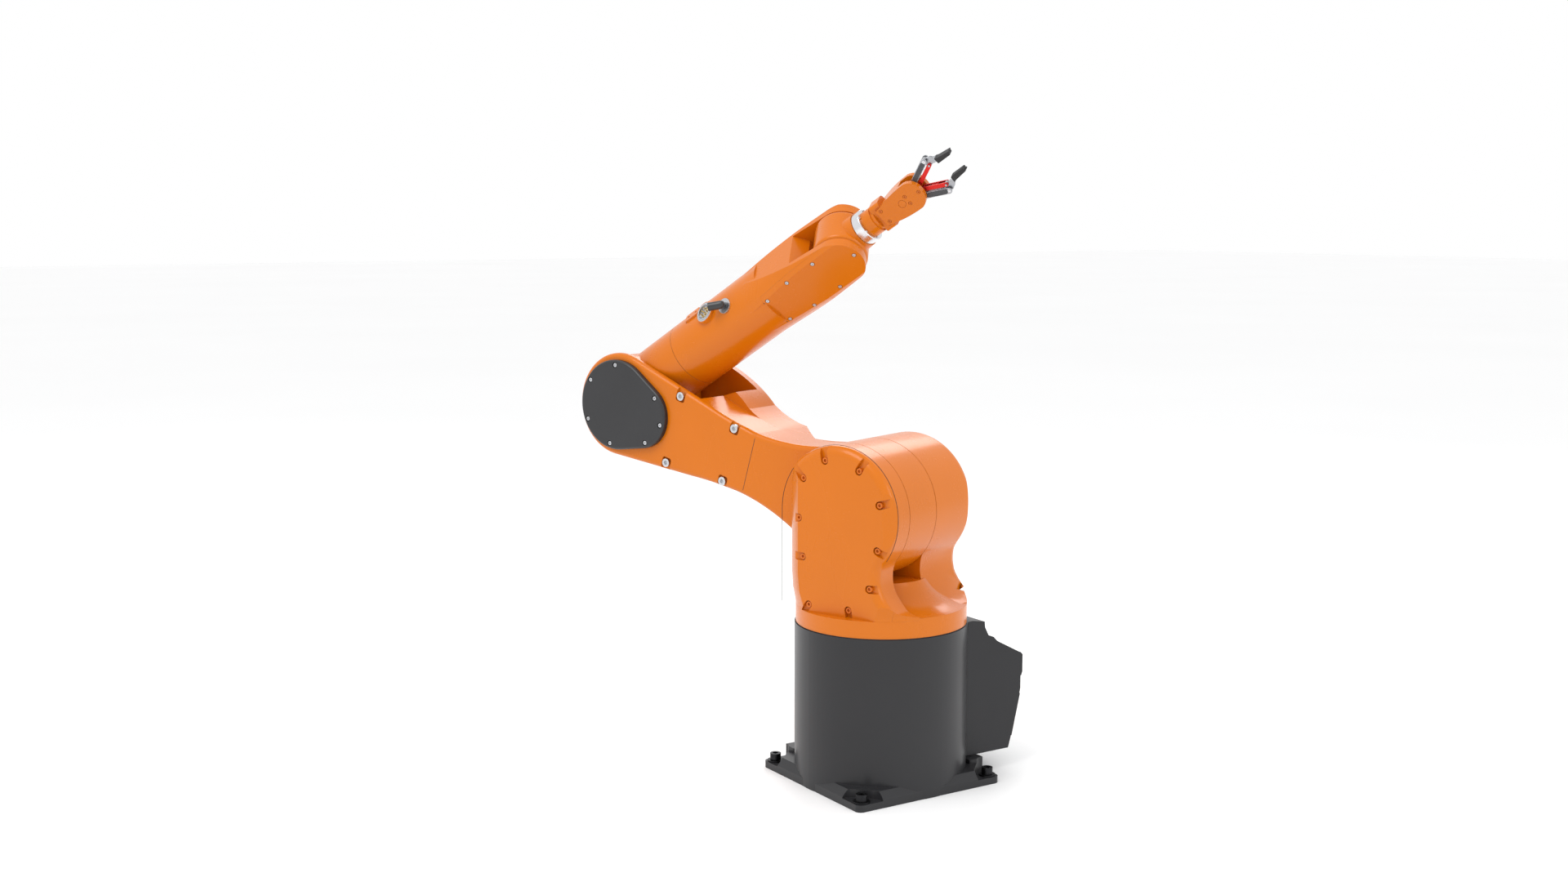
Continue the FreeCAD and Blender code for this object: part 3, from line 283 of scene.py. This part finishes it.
FINISHES = {
    "orange_paint": (paint, dict(colour=(0.60, 0.148, 0.001), worn=(0.8, 0.34, 0.10),
                                 rough=0.26, peel=0.06, coat=0.12, spread=0.03)),
    "base_paint": (paint, dict(colour=(0.022, 0.022, 0.024), worn=(0.09, 0.09, 0.10),
                               rough=0.36, peel=0.12, coat=0.1, spread=0.04, dust=0.12)),
    "box_paint": (paint, dict(colour=(0.019, 0.019, 0.021), worn=(0.10, 0.10, 0.11),
                              rough=0.44, peel=0.25, coat=0.05, spread=0.05, dust=0.12)),
    "orange_screws": (paint, dict(colour=(0.60, 0.14, 0.009), worn=(0.45, 0.25, 0.12),
                                  rough=0.34, peel=0.15, coat=0.1, spread=0.06)),
    "bolt_steel": (metal, dict(colour=(0.66, 0.67, 0.69), rough=0.24, scale=300.0, depth=0.1)),
    "black_steel": (metal, dict(colour=(0.035, 0.035, 0.038), rough=0.38, scale=240.0,
                                depth=0.2, spread=0.25)),
    "flange_silver": (metal, dict(colour=(0.74, 0.75, 0.77), rough=0.22, scale=420.0,
                                  depth=0.1)),
    "connector_metal": (metal, dict(colour=(0.56, 0.57, 0.6), rough=0.28, scale=260.0)),
    "contact_brass": (metal, dict(colour=(0.8, 0.58, 0.25), rough=0.22, scale=300.0)),
    "motor_housing": (metal, dict(colour=(0.09, 0.09, 0.1), rough=0.45, scale=200.0, depth=0.2)),
    "bearing_steel": (metal, dict(colour=(0.5, 0.5, 0.52), rough=0.25, scale=300.0)),
    "link_grey": (metal, dict(colour=(0.40, 0.41, 0.43), rough=0.38, scale=520.0, depth=0.25)),
    "link_red": (metal, dict(colour=(0.62, 0.035, 0.03), rough=0.35, scale=480.0, depth=0.2)),
    "dark_cover": (plastic, dict(colour=(0.016, 0.016, 0.018), rough=0.42, texture=700.0,
                                 depth=0.2, spread=0.12, coat=0.1)),
    "link_cover_dark": (plastic, dict(colour=(0.045, 0.046, 0.05), rough=0.45,
                                      texture=1200.0)),
    "pad_rubber": (plastic, dict(colour=(0.018, 0.018, 0.019), rough=0.7, texture=900.0,
                                 depth=0.5)),
    "plug_black": (plastic, dict(colour=(0.022, 0.022, 0.024), rough=0.38, texture=900.0,
                                 depth=0.15, spread=0.1, coat=0.2)),
}
MATERIALS = {slot: recipe(slot, **settings) for slot, (recipe, settings) in FINISHES.items()}


def dipped_tip():
    """Grey link metal whose end is dipped in black rubber, past the tool's knuckles."""
    nodes = Nodes("dipped_tip")
    dip = nodes.beyond(TOOL, start=144.5 * MM, end=145.0 * MM)
    marks = nodes.noise(520.0, detail=5.0, rough=0.6)
    grey = nodes.mix(nodes.rescale(marks, to=(0.0, 0.35)), (0.40, 0.41, 0.43), (0.36, 0.37, 0.39))
    black = nodes.ramp(nodes.noise(9.0), [(0.3, (0.014, 0.014, 0.015)), (0.7, (0.022, 0.022, 0.023))])
    nodes.drive(base_color=nodes.mix(dip, grey, black),
                metallic=nodes.rescale(dip, to=(1.0, 0.0), over=(0.0, 1.0)),
                roughness=nodes.rescale(dip, to=(0.36, 0.65), over=(0.0, 1.0)),
                normal=nodes.bump(nodes.noise(900.0, detail=3.0), 0.25, 0.12 * MM))
    return nodes.material


def give_materials():
    """Shows every CAD node in its slot's material, and the fingertips in their own."""
    tip_material = dipped_tip()
    for name, node in NODES.items():
        is_tip = name.endswith("_fingertip")
        node.data.materials.clear()
        node.data.materials.append(tip_material if is_tip else MATERIALS[SLOT_OF[name]])


give_materials()


# ---- added detail: lengths in millimetres, in the local frame of each piece --------------
def piece(name, build, place, body, slot):
    """Turns a built mesh into a piece that rides on a CAD body."""
    mesh = bpy.data.meshes.new(name)
    bmesh.ops.recalc_face_normals(build, faces=build.faces)
    build.to_mesh(mesh)
    build.free()
    mesh.transform(place @ Matrix.Scale(MM, 4))
    obj = bpy.data.objects.new(name, mesh)
    bpy.context.scene.collection.objects.link(obj)
    mesh.materials.append(MATERIALS[slot])
    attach(obj, body)


def bridge(build, low, high):
    """Faces between two closed loops of corners."""
    for k in range(len(low)):
        following = (k + 1) % len(low)
        build.faces.new((low[k], low[following], high[following], high[k]))


def stack(build, loops):
    """Closed solid through loops of corners."""
    for low, high in zip(loops, loops[1:]):
        bridge(build, low, high)
    build.faces.new(loops[0])
    build.faces.new(loops[-1])


def smooth(k):
    """Outline of a plain ring: nothing stands out at any segment."""
    return 0.0


def knurl(k):
    """Outline of a knurled ring: every other pair of segments stands out."""
    return 0.55 if k % 4 < 2 else 0.0


def ring(name, profile, place, body, slot, segments, outline=smooth):
    """Ring about local X through (x, radius) points, the first of them on the bore."""
    build = bmesh.new()
    bore = profile[0][1]
    loops = []
    for k in range(segments):
        angle = 2 * math.pi * k / segments
        loop = []
        for x, radius in profile:
            reach = radius + outline(k) if radius > bore else radius
            loop.append(build.verts.new((x, reach * math.cos(angle), reach * math.sin(angle))))
        loops.append(loop)
    for here, following in zip(loops, loops[1:] + loops[:1]):
        bridge(build, here, following)
    piece(name, build, place, body, slot)


def lip(middle, half_width, bore, shoulder, crest):
    """Profile of a seal lip: a strip with a low ridge."""
    start, end = middle - half_width, middle + half_width
    return [(start, bore), (start, shoulder), (middle, crest), (end, shoulder), (end, bore)]


def collar(start, end, bore, outer, end_slope):
    """Profile of a collar with sloped shoulders; end_slope is the length of the second."""
    drop = 0.6
    low = outer - drop
    return [(start, bore), (start, low), (start + drop, outer), (end - end_slope, outer),
            (end, low), (end, bore)]


def add_seals():
    turntable_lip = lip(middle=233.0, half_width=0.45, bore=119.0, shoulder=124.5, crest=125.3)
    ring("turntable_seal", turntable_lip, X_TO_Z, "base", "pad_rubber", segments=160)
    roll_lip = lip(middle=130.7, half_width=0.25, bore=47.0, shoulder=51.3, crest=51.9)
    ring("forearm_seal", roll_lip, FOREARM, "elbow", "pad_rubber", segments=120)


def add_connector_rings():
    row_height, signal_y, air_ys = 153, -30, (15, 42)
    seat_x, seat_radius, seat_angle = 214, 48, 14
    signal = collar(start=-219.6, end=-216.7, bore=14.0, outer=16.2, end_slope=0.5)
    ring("signal_collar", signal, shift(0, signal_y, row_height), "base", "connector_metal",
         segments=192, outline=knurl)
    air = collar(start=-223.2, end=-220.2, bore=6.0, outer=7.8, end_slope=0.7)
    for k, y in enumerate(air_ys):
        ring("air_sleeve_%d" % k, air, shift(0, y, row_height), "base", "connector_metal",
             segments=96, outline=knurl)
    round_seat = FOREARM @ about("X", seat_angle) @ shift(seat_x, 0, seat_radius) @ X_TO_Z
    lock = collar(start=5.0, end=9.0, bore=13.6, outer=15.2, end_slope=0.6)
    ring("round_connector_collar", lock, round_seat, "forearm", "connector_metal",
         segments=192, outline=knurl)


def edge_line(name, path, y, place, body):
    """Dark joint line along a path of (x, z) points that keeps the body on its right."""
    proud, sunk, half_width = 0.4, 0.12, 0.35
    corners = ((proud, -half_width), (-sunk, -half_width), (-sunk, half_width),
               (proud, half_width))
    build = bmesh.new()
    loops = []
    for k, (x, z) in enumerate(path):
        before, after = path[max(k - 1, 0)], path[min(k + 1, len(path) - 1)]
        dx, dz = after[0] - before[0], after[1] - before[1]
        size = math.hypot(dx, dz)
        loops.append([build.verts.new((x - dz / size * out, y + across, z + dx / size * out))
                      for out, across in corners])
    stack(build, loops)
    piece(name, build, place, body, "pad_rubber")


def face_line(name, x, reach, y, place, body):
    """Dark joint line across a flat side at local y, from -reach to reach along local Z."""
    proud, sunk, half_width = 0.06, 0.3, 0.4
    side = math.copysign(1, y)
    corners = ((-half_width, -reach), (-half_width, reach), (half_width, reach),
               (half_width, -reach))
    build = bmesh.new()
    loops = [[build.verts.new((x + across, y + side * out, z)) for across, z in corners]
             for out in (-sunk, proud)]
    stack(build, loops)
    piece(name, build, place, body, "pad_rubber")


def add_joint_lines():
    """Joint lines of the bolted covers."""
    drum_radius = 98.6
    drum_angles = [math.radians(degrees) for degrees in range(180, -37, -4)]
    cover_bottom = (AXIS2_X - drum_radius, 264)
    path = [cover_bottom] + [(AXIS2_X + drum_radius * math.cos(angle),
                              AXIS2_HEIGHT + drum_radius * math.sin(angle))
                             for angle in drum_angles]
    edge_line("shoulder_seam", path, y=-95.0, place=ARM, body="turntable")
    face_line("side_plate_seam", x=190, reach=41, y=64.0, place=LINK, body="link")
    for name, y in (("near", -47.0), ("far", 47.0)):
        face_line("ear_seam_" + name, x=318, reach=25, y=y, place=FOREARM, body="forearm")


def domed_heads(name, places, radius, height, place, body):
    """Low domed heads with a round dimple, at (x, y, z, side), that face local +Y or -Y."""
    sides = 28
    # Each level's height and width, as shares of the head's height and radius.
    levels = ((0.0, 1.0), (0.55, 1.0), (0.85, 0.86), (1.0, 0.55), (0.7, 0.30))
    angles = [2 * math.pi * k / sides for k in range(sides)]
    build = bmesh.new()
    for x, y, z, side in places:
        stack(build, [[build.verts.new((x + radius * wide * math.cos(angle),
                                        y + side * height * lift,
                                        z + radius * wide * math.sin(angle)))
                       for angle in angles] for lift, wide in levels])
    piece(name, build, place, body, "bolt_steel")


def add_pin_heads():
    knuckle_x, knuckle_z, link_face = 130, 27, 7.25
    heads = [(knuckle_x, side * link_face, knuckle_z, side) for side in (1, -1)]
    for finger, turn in (("upper", 0), ("lower", 180)):
        domed_heads(finger + "_pin_heads", heads, radius=2.7, height=1.0,
                    place=TOOL @ about("X", turn), body=finger + "_outer")


def add_flange_screws():
    count, circle, lift = 6, 22.3, 0.02
    angles = [2 * math.pi * (k + 0.5) / count for k in range(count)]
    heads = [(circle * math.sin(angle), lift, circle * math.cos(angle), 1) for angle in angles]
    domed_heads("flange_screws", heads, radius=1.7, height=1.1,
                place=TOOL @ about("Z", -90), body="tool")


add_seals()
add_joint_lines()
add_connector_rings()
add_pin_heads()
add_flange_screws()

# ---- stage, light and camera: metres and degrees ----------------------------------------
FLOOR_REACH = 28.0
LIGHT_AIM = Vector((0.0, -0.1, 0.45))
CAMERA_PLACE = (1.4672, 2.0327, 0.8182)
CAMERA_YAW = 237.41
CAMERA_PITCH = -7.35


def place_towards(obj, place, direction):
    """Puts an object at a place, looking along a direction."""
    obj.location = place
    obj.rotation_mode = "QUATERNION"
    obj.rotation_quaternion = direction.to_track_quat("-Z", "Y")
    bpy.context.scene.collection.objects.link(obj)


def make_floor():
    """Wide pale floor that runs into the white surroundings."""
    mesh = bpy.data.meshes.new("studio_floor")
    build = bmesh.new()
    bmesh.ops.create_grid(build, x_segments=2, y_segments=2, size=FLOOR_REACH)
    build.to_mesh(mesh)
    build.free()
    floor = bpy.data.objects.new("studio_floor", mesh)
    bpy.context.scene.collection.objects.link(floor)
    nodes = Nodes("studio_floor")
    pale = [(0.3, (0.965, 0.965, 0.967)), (0.7, (0.98, 0.98, 0.982))]
    nodes.drive(base_color=nodes.ramp(nodes.noise(0.6, detail=2.0), pale),
                roughness=nodes.rescale(nodes.noise(3.0), to=(0.55, 0.7)))
    mesh.materials.append(nodes.material)


def area_light(name, place, size, power):
    light = bpy.data.lights.new(name, "AREA")
    light.shape = "RECTANGLE"
    light.size, light.size_y = size
    light.energy = power
    place_towards(bpy.data.objects.new(name, light), place, LIGHT_AIM - Vector(place))


def make_light():
    """White surroundings and three large soft lights."""
    world = bpy.data.worlds.new("studio")
    bpy.context.scene.world = world
    world.use_nodes = True
    background = world.node_tree.nodes["Background"]
    background.inputs["Color"].default_value = (*WHITE, 1)
    background.inputs["Strength"].default_value = 1.0
    area_light("key_light", place=(1.6, 0.2, 2.9), size=(1.6, 1.6), power=34.0)
    area_light("side_light", place=(-1.2, 2.6, 1.6), size=(1.2, 1.8), power=16.0)
    area_light("back_light", place=(-1.8, -2.0, 2.2), size=(1.8, 1.0), power=18.0)


def make_camera():
    camera = bpy.data.cameras.new("camera")
    camera.sensor_width = 36.0
    camera.lens = 40.27
    camera.clip_start = 0.05
    camera.clip_end = 60.0
    obj = bpy.data.objects.new("camera", camera)
    forward = about("Z", CAMERA_YAW) @ tilt(CAMERA_PITCH)
    place_towards(obj, CAMERA_PLACE, forward)
    bpy.context.scene.camera = obj


make_floor()
make_light()
make_camera()
bpy.context.scene.view_settings.view_transform = "Standard"
